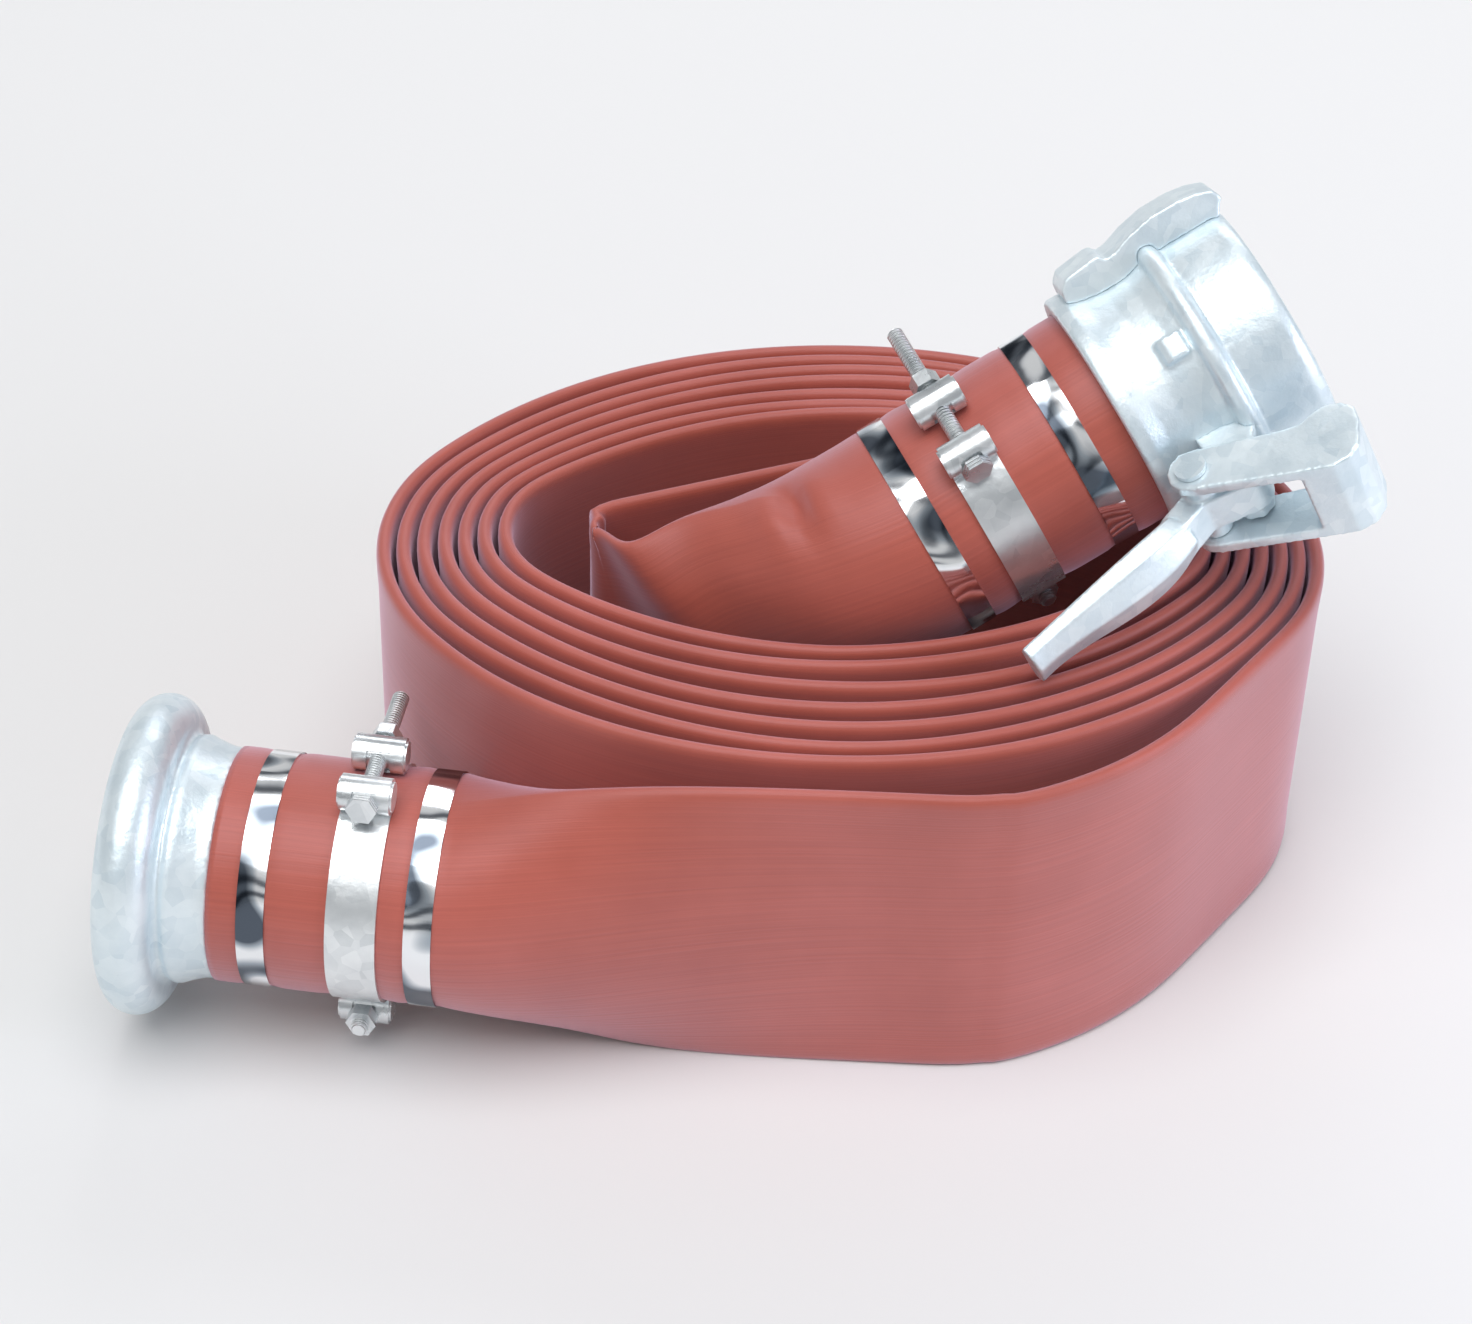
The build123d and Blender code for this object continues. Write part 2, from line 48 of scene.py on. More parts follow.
# ---- hose, in mm --------------------------------------------------------------------------
FLAT_HALF = 83.97             # half the height of the flat hose
HOSE_R = 54.0
BORE_R = 51.0
RING_STEP = 6.0               # between rings along the flat hose
CENTRE_X, COIL_Y, DRIFT, TURNS = 117.0, 8.0, 2.0, 7
ARC_STEPS = 20                # of the search for a side arc that touches both end arcs
CURVE_EASE = 2                # neighbours on either side that a bend's curvature is averaged over
REACH = {"right": (224.0, 8.6), "back": (168.5, 9.3), "left": (223.0, 9.5), "front": (152.5, 13.5)}
KINK_R, KINK, LEAD_R, LEAD_LEN = 60.0, 22.0, 185.0, 70.0
OUTER_HEADING, OUTER_STUB, COIL_HEADING = -4.0, 10.0, 50.6
LEAVE, INNER_R, INNER_BEND, INNER_LEN, HAIRPIN_R, HAIRPIN = 152.0, 130.0, 47.0, 144.0, 10.0, 150.0
COLLAR_EDGE = Vector((-289.9, -123.3, 81.0))
COLLAR_AXIS = Vector((-0.987, 0.160, 0.015)).normalized()
LEVER_EDGE = Vector((125.9, 30.0, 230.0))
LEVER_AXIS = Vector((0.857, 0.260, 0.445)).normalized()
COLLAR_BOLT, LEVER_BOLT = Vector((0.0, 0.105, 0.995)), Vector((-0.340, -0.361, 0.868))
THREAD_PITCH, THREAD_DEPTH = 1.75, 0.6
COLLAR_GRIP, LEVER_GRIP = 104.0, 116.0
COLLAR_BANDS = ((-97.0, 6.4), (-66.5, 11.5), (-20.5, 6.4))     # (distance from the edge, half width)
LEVER_BANDS = ((-106.3, 6.4), (-74.0, 11.5), (-28.5, 6.4))

# Round sleeves: a little proud of the hose, pulled in under the bands, with a cut edge.
SLEEVE_STEP, SLEEVE_EASE, LIP_INSIDE = 3.0, 12.0, 12.0
PROUD, PINCH, PINCH_SPREAD = 0.7, 1.0, 1.25

# Tails: ring spacing, how far the outer one bows to the front, and how hard the inner one pulls.
OUTER_STEP, OUTER_BOW = 5, 24
INNER_STEP, INNER_PULL = 4, 0.9
JOINT_BEFORE, JOINT_AFTER, JOINT_EASE = 4, 5, 3
GIRTH_FIT = 0.726             # fitted: makes up the girth that a plain blend of flat and round loses
TAIL_PRESS = 4                # the crease comes in over the first quarter of the opening

# Loose turns: where they start (towards the front), and over what distance.
LOOSE_FROM, LOOSE_OVER, LOOSE_RUN = 30.0, 60.0, 400.0
WANDER_WAVE, WANDER_SEED, WANDER, WANDER_LOOSE = 210.0, 3.1, 0.7, 4.0
TILT_WAVE, TILT_SEED, TILT, TILT_LOOSE = 330.0, 9.7, 0.004, 0.025
LIFT_WAVE, LIFT_SEED, LIFT, LIFT_RUN = 400.0, 5.3, 5.0, 900.0
START_EASE, END_EASE = 60.0, 150.0

# The lean of the fold's upper edge: slope, where along the inner tail, over what length, and its push.
LEAN, LEAN_AT, LEAN_SPREAD, LEAN_PUSH = 0.13, 72.0, 24.0, 0.6

# A short crease on top of the inner tail.
DENT_AT, DENT_DEPTH = Vector((-30.0, -15.0, 206.0)), 7.0
DENT_WIDTH, DENT_LENGTH = 4.5, 14.0
SWELL, SWELL_OFF, SWELL_WIDTH, SWELL_LENGTH = 0.35, 13.0, 8.0, 22.0
DENT_ACROSS = Vector((0.90, 0.30, 0.30)).normalized()

# Half-thickness of the flat hose against height, from the folded edge to the middle.
EDGE = [(83.97, 0.0), (83.6, 1.5), (82.6, 2.6), (80.8, 3.3), (78.3, 3.5), (75.0, 3.45), (71.0, 3.3),
        (66.0, 3.1), (59.0, 3.0), (51.0, 3.0), (43.0, 3.0), (34.0, 3.0), (26.0, 3.0), (17.0, 3.0),
        (8.0, 3.0)]
GIRTH = 339.0                 # round the outside of the hose, for the texture's second axis

# Cast surfaces: voxel in mm and smoothing passes.
FINE_CAST, FINE_PASSES = 0.9, 6
HEAVY_CAST, HEAVY_PASSES = 1.1, 3


def ring_profile():
    """(height, thickness, angle when round) of each point round the hose, from the top edge."""
    quarter = [(h, t, pi / 2 * (1 - h / FLAT_HALF)) for h, t in EDGE]
    middle = [(0.0, EDGE[-1][1], pi / 2)]
    half = quarter + middle + [(-h, t, pi - a) for h, t, a in reversed(quarter)]
    return half + [(h, -t, 2 * pi - a) for h, t, a in reversed(half[1:-1])]


def reach(side, turn):
    """Distance from the datum to the middle of one turn, on one side of the coil."""
    outer, pitch = REACH[side]
    return outer - pitch * turn


def side_arc(first, second, side, turn):
    """Centre and radius of the long arc that touches two end arcs and goes as far as asked."""
    flip = 1 if side == "back" else -1
    (xa, ya, ra), (xb, yb, rb) = [(x, flip * y, r) for x, y, r in (first, second)]
    top, x, y = reach(side, turn), 0.0, 0.0
    for _ in range(ARC_STEPS):
        y = ((top - ra) ** 2 - (xa - x) ** 2 - ya ** 2) / (2 * (top - ra - ya))
        x = (xa ** 2 - xb ** 2 + ya ** 2 - yb ** 2 - (top - ra) ** 2 + (top - rb) ** 2
             - 2 * (ya - yb + ra - rb) * y) / (2 * (xa - xb))
    return x, flip * y, top - y


def coil_moves():
    """(radius, degrees) or (None, length) along the hose, from the outer end inwards."""
    ends = []
    for turn in range(TURNS + 1):
        y = COIL_Y + DRIFT * turn
        ends.append((CENTRE_X, y, reach("right", turn) - CENTRE_X))
        ends.append((-CENTRE_X, y, reach("left", turn) - CENTRE_X))
    arcs = []
    for i, (here, there) in enumerate(zip(ends, ends[1:])):
        arcs += [here, side_arc(here, there, ("back", "front")[i % 2], i // 2)]
    joints = [COIL_HEADING - 90]
    for a, b in zip(arcs, arcs[1:]):
        small, big = sorted((a, b), key=lambda arc: arc[2])
        joints.append(degrees(atan2(small[1] - big[1], small[0] - big[0])))
    joints.append(LEAVE - 90)
    lead = [(None, OUTER_STUB), (KINK_R, KINK), (LEAD_R, COIL_HEADING - OUTER_HEADING - KINK),
            (None, LEAD_LEN)]
    turns = [(arc[2], (after - before) % 360) for arc, before, after in zip(arcs, joints, joints[1:])]
    inner = [(INNER_R, INNER_BEND), (None, INNER_LEN), (HAIRPIN_R, HAIRPIN)]
    return lead, turns, inner, arcs[0]


def walk(state, radius, amount):
    """On along an arc that turns left by some degrees, or straight on when there's no radius."""
    (x, y), heading = state
    if radius is None:
        return (x + amount * cos(heading), y + amount * sin(heading)), heading
    after = heading + radians(amount)
    return (x + radius * (sin(after) - sin(heading)), y - radius * (cos(after) - cos(heading))), after


def coil_samples():
    """(x, y, heading) along the flat hose, every few millimetres."""
    lead, turns, inner, first = coil_moves()
    start = ((0.0, 0.0), radians(OUTER_HEADING))
    state = start
    for move in lead:
        state = walk(state, *move)
    (x, y), heading = state
    cx, cy, r = first
    state = ((cx - x + r * sin(heading), cy - y - r * cos(heading)), start[1])
    out = []
    for radius, amount in lead + turns + inner:
        length = amount if radius is None else radians(amount) * radius
        pieces = max(1, ceil(length / RING_STEP))
        out += [walk(state, radius, amount * k / pieces) for k in range(pieces)]
        state = walk(state, radius, amount)
    return [(p[0], p[1], h) for p, h in out + [state]]


def smooth(samples, reach_steps):
    """Bends eased in and out, by averaging each point with its neighbours."""
    out = []
    for i in range(len(samples)):
        w = min(reach_steps, i, len(samples) - 1 - i)
        near = samples[i - w:i + w + 1]
        out.append(tuple(sum(s[k] for s in near) / len(near) for k in range(3)))
    return out


def hermite(p0, d0, p1, d1, t):
    """Point and direction on a cubic from p0 to p1."""
    a, b = 2 * t ** 3 - 3 * t ** 2 + 1, t ** 3 - 2 * t ** 2 + t
    c, d = -2 * t ** 3 + 3 * t ** 2, t ** 3 - t ** 2
    point = p0 * a + d0 * b + p1 * c + d1 * d
    slope = p0 * (6 * t * t - 6 * t) + d0 * (3 * t * t - 4 * t + 1) + p1 * (6 * t - 6 * t * t) \
        + d1 * (3 * t * t - 2 * t)
    return point, slope.normalized()


def upright(direction):
    """The upward direction square to the hose."""
    return (Vector((0, 0, 1)) - direction * direction.z).normalized()


def squeezed(distance, bands):
    """Radius of the round hose: a little proud between the bands and pulled in under them."""
    grip = max(exp(-((distance - at) / (PINCH_SPREAD * half)) ** 4) for at, half in bands)
    return HOSE_R + PROUD - PINCH * grip


def round_rings(edge, axis, grip, bands):
    """Rings along a sleeve from the end of the shank to the hose's edge, and round the cut edge."""
    rings = []
    count = ceil(grip / SLEEVE_STEP)
    for k in range(count + 1):
        z = -grip * (1 - k / count)
        ease = min(1.0, (z + grip) / SLEEVE_EASE)
        radius = HOSE_R + (squeezed(z, bands) - HOSE_R) * ease
        rings.append((edge + axis * z, axis, upright(axis), 1.0, radius))
    rings.append((edge, axis, upright(axis), 1.0, BORE_R))
    rings.append((edge - axis * LIP_INSIDE, axis, upright(axis), 1.0, BORE_R))
    return rings


def mirrored(rings):
    """The same rings travelled the other way."""
    return [(p, -d, up, s, r) for p, d, up, s, r in reversed(rings)]


def eased(rings, first, last):
    """Rings between two places, each averaged with its neighbours on either side."""
    out = list(rings)
    for i in range(first, last):
        near = rings[i - JOINT_EASE:i + JOINT_EASE + 1]
        point, direction, up = [sum((r[k] for r in near), Vector()) / len(near) for k in range(3)]
        opening = sum(r[3] for r in near) / len(near)
        out[i] = (point, direction.normalized(), up.normalized(), opening, HOSE_R)
    return out


def leaned(rings, joint, front):
    """The fold's upper edge leans out over the hollow where the inner tail starts to open."""
    out, run = list(rings), 0.0
    for i in range(joint, len(rings)):
        point, direction, up, s, radius = rings[i]
        run += (point - rings[i - 1][0]).length
        lean = LEAN * exp(-((run - LEAN_AT) / LEAN_SPREAD) ** 2)
        shifted = point + front * FLAT_HALF * lean * LEAN_PUSH
        out[i] = (shifted, direction, (up + front * lean).normalized(), s, radius)
    return out


def drifting(run, wave, seed):
    """A slow, fixed wander along the hose."""
    return noise.noise(Vector((run / wave, seed, 0.0)))


def build_hose():
    """(place, direction, up, opening from flat 0 to round 1, radius) of each ring, from the collar end."""
    flat = smooth(coil_samples(), CURVE_EASE)
    centre_z = FLAT_HALF
    rings = mirrored(round_rings(COLLAR_EDGE, COLLAR_AXIS, COLLAR_GRIP, COLLAR_BANDS))

    # outer tail: round to flat
    p0, d0 = COLLAR_EDGE - COLLAR_AXIS * COLLAR_GRIP, -COLLAR_AXIS
    x, y, heading = flat[0]
    p1, d1 = Vector((x, y, centre_z)), Vector((cos(heading), sin(heading), 0))
    span = (p1 - p0).length
    steps = ceil(span / OUTER_STEP)
    for k in range(1, steps):
        t = k / steps
        point, direction = hermite(p0, d0 * span, p1, d1 * span, t)
        s = (1 - t) ** 2
        front = direction.cross(Vector((0, 0, 1))).normalized()
        rings.append((point + front * OUTER_BOW * s * (1 - s), direction, upright(direction), s, HOSE_R))
    outer_joint = len(rings)

    # the coil: each turn a little off its neighbours where they lie loose, at the front
    length = sum(((b[0] - a[0]) ** 2 + (b[1] - a[1]) ** 2) ** 0.5 for a, b in zip(flat, flat[1:]))
    run = 0.0
    for i, (x, y, heading) in enumerate(flat):
        if i:
            run += ((x - flat[i - 1][0]) ** 2 + (y - flat[i - 1][1]) ** 2) ** 0.5
        loose = min(1.0, max(0.0, (-y - LOOSE_FROM) / LOOSE_OVER)) * min(1.0, run / LOOSE_RUN)
        wander = drifting(run, WANDER_WAVE, WANDER_SEED) * (WANDER + WANDER_LOOSE * loose)
        tilt = drifting(run, TILT_WAVE, TILT_SEED) * (TILT + TILT_LOOSE * loose)
        lift = max(0.0, drifting(run, LIFT_WAVE, LIFT_SEED)) * LIFT * min(1.0, run / LIFT_RUN)
        side = Vector((sin(heading), -cos(heading), 0))
        ends = min(1.0, run / START_EASE, (length - run) / END_EASE)
        up = (Vector((0, 0, 1)) + side * tilt * ends).normalized()
        point = Vector((x, y, centre_z + lift * ends)) + side * wander * ends
        rings.append((point, Vector((cos(heading), sin(heading), 0)), up, 0.0, HOSE_R))
    inner_joint = len(rings)

    # inner tail: flat to round, climbing to the lever half
    p0, d0 = rings[-1][:2]
    p1, d1 = LEVER_EDGE - LEVER_AXIS * LEVER_GRIP, LEVER_AXIS
    span = (p1 - p0).length
    steps = ceil(span / INNER_STEP)
    for k in range(1, steps):
        t = k / steps
        point, direction = hermite(p0, d0 * span * INNER_PULL, p1, d1 * span * INNER_PULL, t)
        s = t * t * (3 - 2 * t)
        rings.append((point, direction, upright(direction), s, HOSE_R))
    rings = leaned(rings, inner_joint, Vector((sin(heading), -cos(heading), 0)))
    for joint in (outer_joint, inner_joint):
        rings = eased(rings, joint - JOINT_BEFORE, joint + JOINT_AFTER)
    return rings + round_rings(LEVER_EDGE, LEVER_AXIS, LEVER_GRIP, LEVER_BANDS)


def creased(spot, point, s):
    """How far the crease moves one place of the inner tail, inwards along its middle and out beside it."""
    away = spot - DENT_AT
    across = away.dot(DENT_ACROSS)
    lengthwise = (away - DENT_ACROSS * across).length
    press = DENT_DEPTH * exp(-(across / DENT_WIDTH) ** 2 - (lengthwise / DENT_LENGTH) ** 2)
    swell = DENT_DEPTH * SWELL * exp(-((abs(across) - SWELL_OFF) / SWELL_WIDTH) ** 2
                                     - (lengthwise / SWELL_LENGTH) ** 2)
    return (point - spot).normalized() * (press - swell) * min(1.0, s * TAIL_PRESS)


def hose_mesh(rings):
    """The skin over the rings, with a texture axis along the hose and one round it."""
    profile = ring_profile()
    n = len(profile)
    verts, faces, along = [], [], []
    run = 0.0
    for i, (point, direction, up, s, radius) in enumerate(rings):
        if i:
            run += (point - rings[i - 1][0]).length
        side = direction.cross(up).normalized()
        up = side.cross(direction).normalized()
        fuller = (1 - GIRTH_FIT * s * (1 - s)) ** -0.5     # keeps the girth as the hose opens
        for k, (height, thick, angle) in enumerate(profile):
            h = fuller * ((1 - s) * height + s * radius * cos(angle))
            t = fuller * ((1 - s) * thick + s * radius * sin(angle))
            spot = point + up * h + side * t
            spot.z = max(spot.z, 0.0)
            spot += creased(spot, point, s)
            verts.append((spot + DATUM) * MM)
        along.append(run)
    for i in range(len(rings) - 1):
        for k in range(n):
            a, b = i * n + k, i * n + (k + 1) % n
            faces.append((a, b, b + n, a + n))
    mesh = bpy.data.meshes.new("hose")
    mesh.from_pydata(verts, [], faces)
    uv = mesh.uv_layers.new(name="along")
    girth = GIRTH * MM
    for polygon in mesh.polygons:
        for corner, loop in enumerate(polygon.loop_indices):
            vertex = mesh.loops[loop].vertex_index
            i, k = divmod(vertex, n)
            k = n if k == 0 and corner in (1, 2) else k     # the last column closes the ring
            uv.data[loop].uv = (along[i] * MM, k / n * girth)
        polygon.use_smooth = True
    mesh.update()
    return mesh


# ---- materials ------------------------------------------------------------------------------
def new_material(name):
    """A node material, with its nodes, links and shader."""
    material = bpy.data.materials.new(name)
    material.use_nodes = True
    nodes = material.node_tree.nodes
    return material, nodes, material.node_tree.links, nodes["Principled BSDF"]


def add(nodes, kind, **values):
    """A node with the given inputs or settings."""
    node = nodes.new(kind)
    for key, value in values.items():
        if key in node.inputs:
            node.inputs[key].default_value = value
        else:
            setattr(node, key, value)
    return node


def ramp(nodes, stops):
    """A colour ramp through (position, colour) stops."""
    node = nodes.new("ShaderNodeValToRGB")
    elements = node.color_ramp.elements
    elements[0].position, elements[0].color = stops[0]
    elements[1].position, elements[1].color = stops[-1]
    for position, color in stops[1:-1]:
        element = elements.new(position)
        element.color = color
    return node


def rubber_material():
    """Terracotta rubber: a lengthwise grain, a patchy tone and a dusty sheen."""
    material, nodes, links, shader = new_material("hose_rubber")
    uv = nodes.new("ShaderNodeUVMap")
    uv.uv_map = "along"
    stretch = add(nodes, "ShaderNodeMapping")
    stretch.inputs["Scale"].default_value = (6.0, 900.0, 1.0)
    links.new(uv.outputs["UV"], stretch.inputs["Vector"])
    grain = add(nodes, "ShaderNodeTexNoise", Scale=1.0, Detail=3.0, Roughness=0.6)
    links.new(stretch.outputs["Vector"], grain.inputs["Vector"])
    place = nodes.new("ShaderNodeTexCoord")
    patches = add(nodes, "ShaderNodeTexNoise", Scale=9.0, Detail=4.0, Roughness=0.55)
    links.new(place.outputs["Object"], patches.inputs["Vector"])
    tone = ramp(nodes, [(0.3, (0.38, 0.074, 0.040, 1)), (0.5, (0.43, 0.090, 0.052, 1)),
                        (0.7, (0.48, 0.108, 0.070, 1))])
    links.new(patches.outputs["Fac"], tone.inputs["Fac"])
    streak = ramp(nodes, [(0.3, (0.92, 0.90, 0.90, 1)), (0.7, (1.06, 1.08, 1.10, 1))])
    links.new(grain.outputs["Fac"], streak.inputs["Fac"])
    mix = nodes.new("ShaderNodeMix")
    mix.data_type, mix.blend_type = "RGBA", "MULTIPLY"
    mix.inputs[0].default_value = 1.0
    links.new(tone.outputs["Color"], mix.inputs[6])
    links.new(streak.outputs["Color"], mix.inputs[7])
    links.new(mix.outputs[2], shader.inputs["Base Color"])
    bump = add(nodes, "ShaderNodeBump", Strength=0.25, Distance=0.0006)
    links.new(grain.outputs["Fac"], bump.inputs["Height"])
    links.new(bump.outputs["Normal"], shader.inputs["Normal"])
    shader.inputs["Roughness"].default_value = 0.44
    shader.inputs["Specular IOR Level"].default_value = 0.6
    shader.inputs["Specular Tint"].default_value = (0.85, 0.85, 1.0, 1)
    shader.inputs["Sheen Weight"].default_value = 0.7
    shader.inputs["Sheen Roughness"].default_value = 0.5
    shader.inputs["Sheen Tint"].default_value = (0.95, 0.72, 0.92, 1)
    return material


def galvanised_material(name, low, high, metallic, rough, cast):
    """Zinc-coated steel: a faint spangle, a mottled tone and a cast surface."""
    material, nodes, links, shader = new_material(name)
    place = nodes.new("ShaderNodeTexCoord")
    spangle = add(nodes, "ShaderNodeTexVoronoi", Scale=130.0)
    cloud = add(nodes, "ShaderNodeTexNoise", Scale=26.0, Detail=5.0, Roughness=0.6)
    for node in (spangle, cloud):
        links.new(place.outputs["Object"], node.inputs["Vector"])
    mix = add(nodes, "ShaderNodeMix")
    mix.data_type = "FLOAT"
    mix.inputs[0].default_value = 0.72
    to_grey = nodes.new("ShaderNodeRGBToBW")
    links.new(spangle.outputs["Color"], to_grey.inputs["Color"])
    links.new(to_grey.outputs["Val"], mix.inputs[2])
    links.new(cloud.outputs["Fac"], mix.inputs[3])
    tone = ramp(nodes, [(0.3, (*low, 1)), (0.7, (*high, 1))])
    links.new(mix.outputs[0], tone.inputs["Fac"])
    links.new(tone.outputs["Color"], shader.inputs["Base Color"])
    wear = ramp(nodes, [(0.3, (rough - 0.08,) * 3 + (1,)), (0.7, (rough + 0.10,) * 3 + (1,))])
    links.new(cloud.outputs["Fac"], wear.inputs["Fac"])
    links.new(wear.outputs["Color"], shader.inputs["Roughness"])
    fine = add(nodes, "ShaderNodeTexNoise", Scale=240.0, Detail=3.0, Roughness=0.6)
    links.new(place.outputs["Object"], fine.inputs["Vector"])
    bump = add(nodes, "ShaderNodeBump", Strength=cast, Distance=0.0008)
    links.new(fine.outputs["Fac"], bump.inputs["Height"])
    links.new(bump.outputs["Normal"], shader.inputs["Normal"])
    shader.inputs["Metallic"].default_value = metallic
    return material


def strap_painted_reflection_material():
    """Polished band, pulled into shallow facets over the rubber, with painted reflections: its colour runs
    from dark to bright with the same facets, so that it flashes light and dark.
    """
    material, nodes, links, shader = new_material("strap_steel")
    place = nodes.new("ShaderNodeTexCoord")
    wave = add(nodes, "ShaderNodeTexNoise", Scale=42.0, Detail=0.0)
    links.new(place.outputs["Object"], wave.inputs["Vector"])
    bump = add(nodes, "ShaderNodeBump", Strength=0.8, Distance=0.006)
    links.new(wave.outputs["Fac"], bump.inputs["Height"])
    links.new(bump.outputs["Normal"], shader.inputs["Normal"])
    # painted reflection: near-black to near-white colour patches that follow the facets stand in for the
    # dark and bright flashes of the polished band
    tone = ramp(nodes, [(0.40, (0.10, 0.12, 0.15, 1)), (0.47, (0.42, 0.47, 0.52, 1)),
                        (0.53, (0.93, 0.95, 0.97, 1))])
    links.new(wave.outputs["Fac"], tone.inputs["Fac"])
    links.new(tone.outputs["Color"], shader.inputs["Base Color"])
    shader.inputs["Metallic"].default_value = 1.0
    shader.inputs["Roughness"].default_value = 0.12
    return material


def seal_material():
    """Black rubber with a faint speck."""
    material, nodes, links, shader = new_material("seal_rubber")
    place = nodes.new("ShaderNodeTexCoord")
    speck = add(nodes, "ShaderNodeTexNoise", Scale=300.0, Detail=2.0)
    links.new(place.outputs["Object"], speck.inputs["Vector"])
    tone = ramp(nodes, [(0.3, (0.02, 0.02, 0.02, 1)), (0.7, (0.035, 0.035, 0.035, 1))])
    links.new(speck.outputs["Fac"], tone.inputs["Fac"])
    links.new(tone.outputs["Color"], shader.inputs["Base Color"])
    shader.inputs["Roughness"].default_value = 0.7
    return material


def threaded_material(name, finish, direction):
    """A copy of a finish with a rolled thread in one direction."""
    material = finish.copy()
    material.name = name
    nodes, links = material.node_tree.nodes, material.node_tree.links
    place = nodes.new("ShaderNodeTexCoord")
    along = nodes.new("ShaderNodeVectorMath")
    along.operation = "DOT_PRODUCT"
    along.inputs[1].default_value = direction
    links.new(place.outputs["Object"], along.inputs[0])
    turns = nodes.new("ShaderNodeMath")
    turns.operation = "MULTIPLY"
    turns.inputs[1].default_value = 2 * pi / (THREAD_PITCH * MM)
    links.new(along.outputs["Value"], turns.inputs[0])
    wave = nodes.new("ShaderNodeMath")
    wave.operation = "SINE"
    links.new(turns.outputs[0], wave.inputs[0])
    bump = add(nodes, "ShaderNodeBump", Strength=1.0, Distance=THREAD_DEPTH * MM)
    links.new(wave.outputs[0], bump.inputs["Height"])
    links.new(bump.outputs["Normal"], nodes["Principled BSDF"].inputs["Normal"])
    return material


def floor_material():
    """Plain pale floor."""
    material, _, _, shader = new_material("studio_floor")
    shader.inputs["Base Color"].default_value = (0.73, 0.73, 0.73, 1)
    shader.inputs["Roughness"].default_value = 0.9
    shader.inputs["Specular IOR Level"].default_value = 0.1
    return material


def paint(piece, material):
    """The only material of a piece."""
    piece.data.materials.clear()
    piece.data.materials.append(material)


rubber = rubber_material()
galvanised = galvanised_material("galvanised_steel", low=(0.64, 0.75, 0.81), high=(0.86, 0.94, 0.97),
                                 metallic=0.50, rough=0.38, cast=0.35)
zinc = galvanised_material("clamp_zinc", low=(0.62, 0.66, 0.68), high=(0.90, 0.93, 0.94),
                           metallic=0.85, rough=0.30, cast=0.20)
strap = strap_painted_reflection_material()
seal = seal_material()

hose = bpy.data.objects.new("hose", hose_mesh(build_hose()))
bpy.context.scene.collection.objects.link(hose)
paint(hose, rubber)
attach(hose, ROOT)
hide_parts("hose_coil", "hose_outer_tail", "hose_inner_tail")

finishes = {"galvanised_steel": galvanised, "clamp_zinc": zinc, "strap_steel": strap, "seal_rubber": seal}
slots = {part["node"]: part["material_slot"] for part in frame["record"]["subparts"]}
for name, node in frame["nodes"].items():
    if not name.startswith("hose_"):
        paint(node, finishes[slots[name]])
for end, axis, bolt in (("collar_end", COLLAR_AXIS, COLLAR_BOLT), ("lever_end", LEVER_AXIS, LEVER_BOLT)):
    along_bolts = axis.cross(bolt).normalized()
    paint(frame["nodes"][f"{end}_clamp_bolts"], threaded_material(f"{end}_thread", zinc, along_bolts))


def soften(node, voxel, passes):
    """A cast surface: every edge and inside corner a little rounded."""
    cast = node.modifiers.new("cast", "REMESH")
    cast.mode, cast.voxel_size, cast.use_smooth_shade = "VOXEL", voxel * MM, True
    relax = node.modifiers.new("relax", "SMOOTH")
    relax.factor, relax.iterations = 0.5, passes


for name in ("closing_claw", "locking_lever", "lever_lugs", "upper_fixed_hook", "lower_fixed_hook"):
    soften(frame["nodes"][name], FINE_CAST, FINE_PASSES)
for name in ("lever_half_bell", "collar_half_body"):
    soften(frame["nodes"][name], HEAVY_CAST, HEAVY_PASSES)

# ---- stage ------------------------------------------------------------------------------------
bpy.ops.mesh.primitive_plane_add(size=30.0, location=(0, 0, 0))
floor = bpy.context.object
floor.name = "studio_floor"
paint(floor, floor_material())

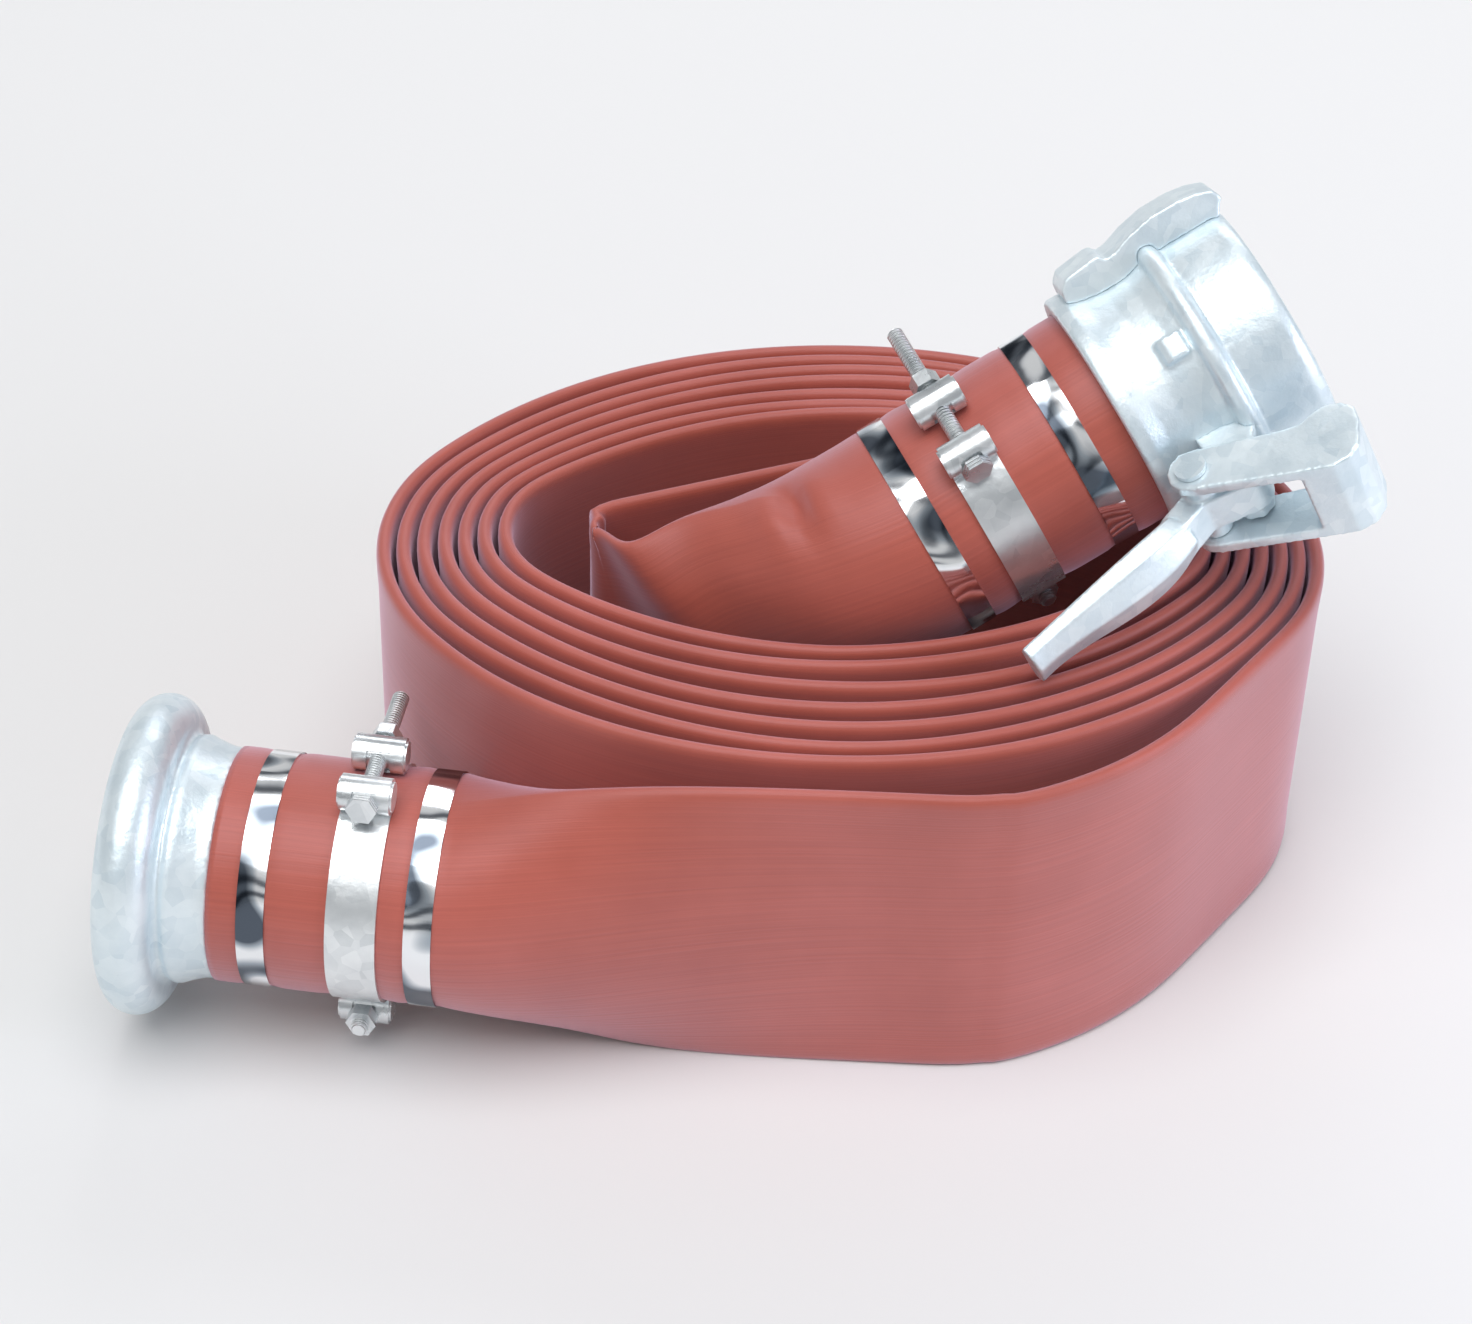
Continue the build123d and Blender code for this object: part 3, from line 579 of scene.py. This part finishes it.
world = bpy.data.worlds.new("studio")
bpy.context.scene.world = world
world.use_nodes = True
sky = world.node_tree.nodes["Background"]
direction = world.node_tree.nodes.new("ShaderNodeTexCoord")
panels = add(world.node_tree.nodes, "ShaderNodeTexWave", Scale=1.6, Distortion=1.2, Detail=1.0)
panels.bands_direction = "DIAGONAL"
shade = ramp(world.node_tree.nodes, [(0.15, (0.10, 0.11, 0.13, 1)), (0.5, (0.75, 0.77, 0.80, 1)),
                                     (0.8, (1.0, 1.0, 1.0, 1))])
world.node_tree.links.new(direction.outputs["Generated"], panels.inputs["Vector"])
world.node_tree.links.new(panels.outputs["Fac"], shade.inputs["Fac"])
world.node_tree.links.new(shade.outputs["Color"], sky.inputs["Color"])
sky.inputs["Strength"].default_value = 0.60


def hang(name, light):
    """A light in the scene."""
    lamp = bpy.data.objects.new(name, light)
    bpy.context.scene.collection.objects.link(lamp)
    return lamp


def aimed(direction):
    """Rotation that points a light along a direction."""
    return direction.to_track_quat("-Z", "Y").to_euler()


def softbox(name, position, target, size, power, color=(1, 1, 1)):
    """A rectangular area light aimed at a place on the object."""
    light = bpy.data.lights.new(name, "AREA")
    light.shape, light.size, light.size_y = "RECTANGLE", size[0], size[1]
    light.energy, light.color = power, color
    lamp = hang(name, light)
    lamp.location = position
    lamp.rotation_euler = aimed(Vector(target) - Vector(position))


softbox("key", (-0.9, -1.2, 1.5), (0, 0, 0.1), (0.8, 0.7), 3)
softbox("fill", (1.6, -0.6, 0.75), (0.1, 0, 0.12), (0.8, 0.8), 11, (0.80, 0.84, 1.0))
softbox("back", (0.3, 1.7, 1.6), (0, 0, 0.15), (1.4, 0.6), 8, (0.95, 0.95, 1.0))
overhead = bpy.data.lights.new("overhead", "SUN")
overhead.energy, overhead.angle = 2.0, radians(50)
hang("overhead", overhead).rotation_euler = aimed(Vector((0.1, 0.22, -1)))

# ---- camera -----------------------------------------------------------------------------------

camera_data = bpy.data.cameras.new("camera")
camera_data.sensor_width = 36.0
camera_data.lens = 92.93
camera = bpy.data.objects.new("camera", camera_data)
bpy.context.scene.collection.objects.link(camera)
right, above = Vector((0.9993, -0.02866, 0.02406)), Vector((0.0, 0.64324, 0.76567))
ahead = Vector((0.03742, 0.76513, -0.64279))
camera.matrix_world = Matrix.LocRotScale(
    Vector((-0.06838, -1.40572, 1.28934)),
    Matrix((right, above, -ahead)).transposed().to_quaternion(), Vector((1, 1, 1)))
bpy.context.scene.camera = camera

bpy.context.scene.view_settings.view_transform = "Standard"
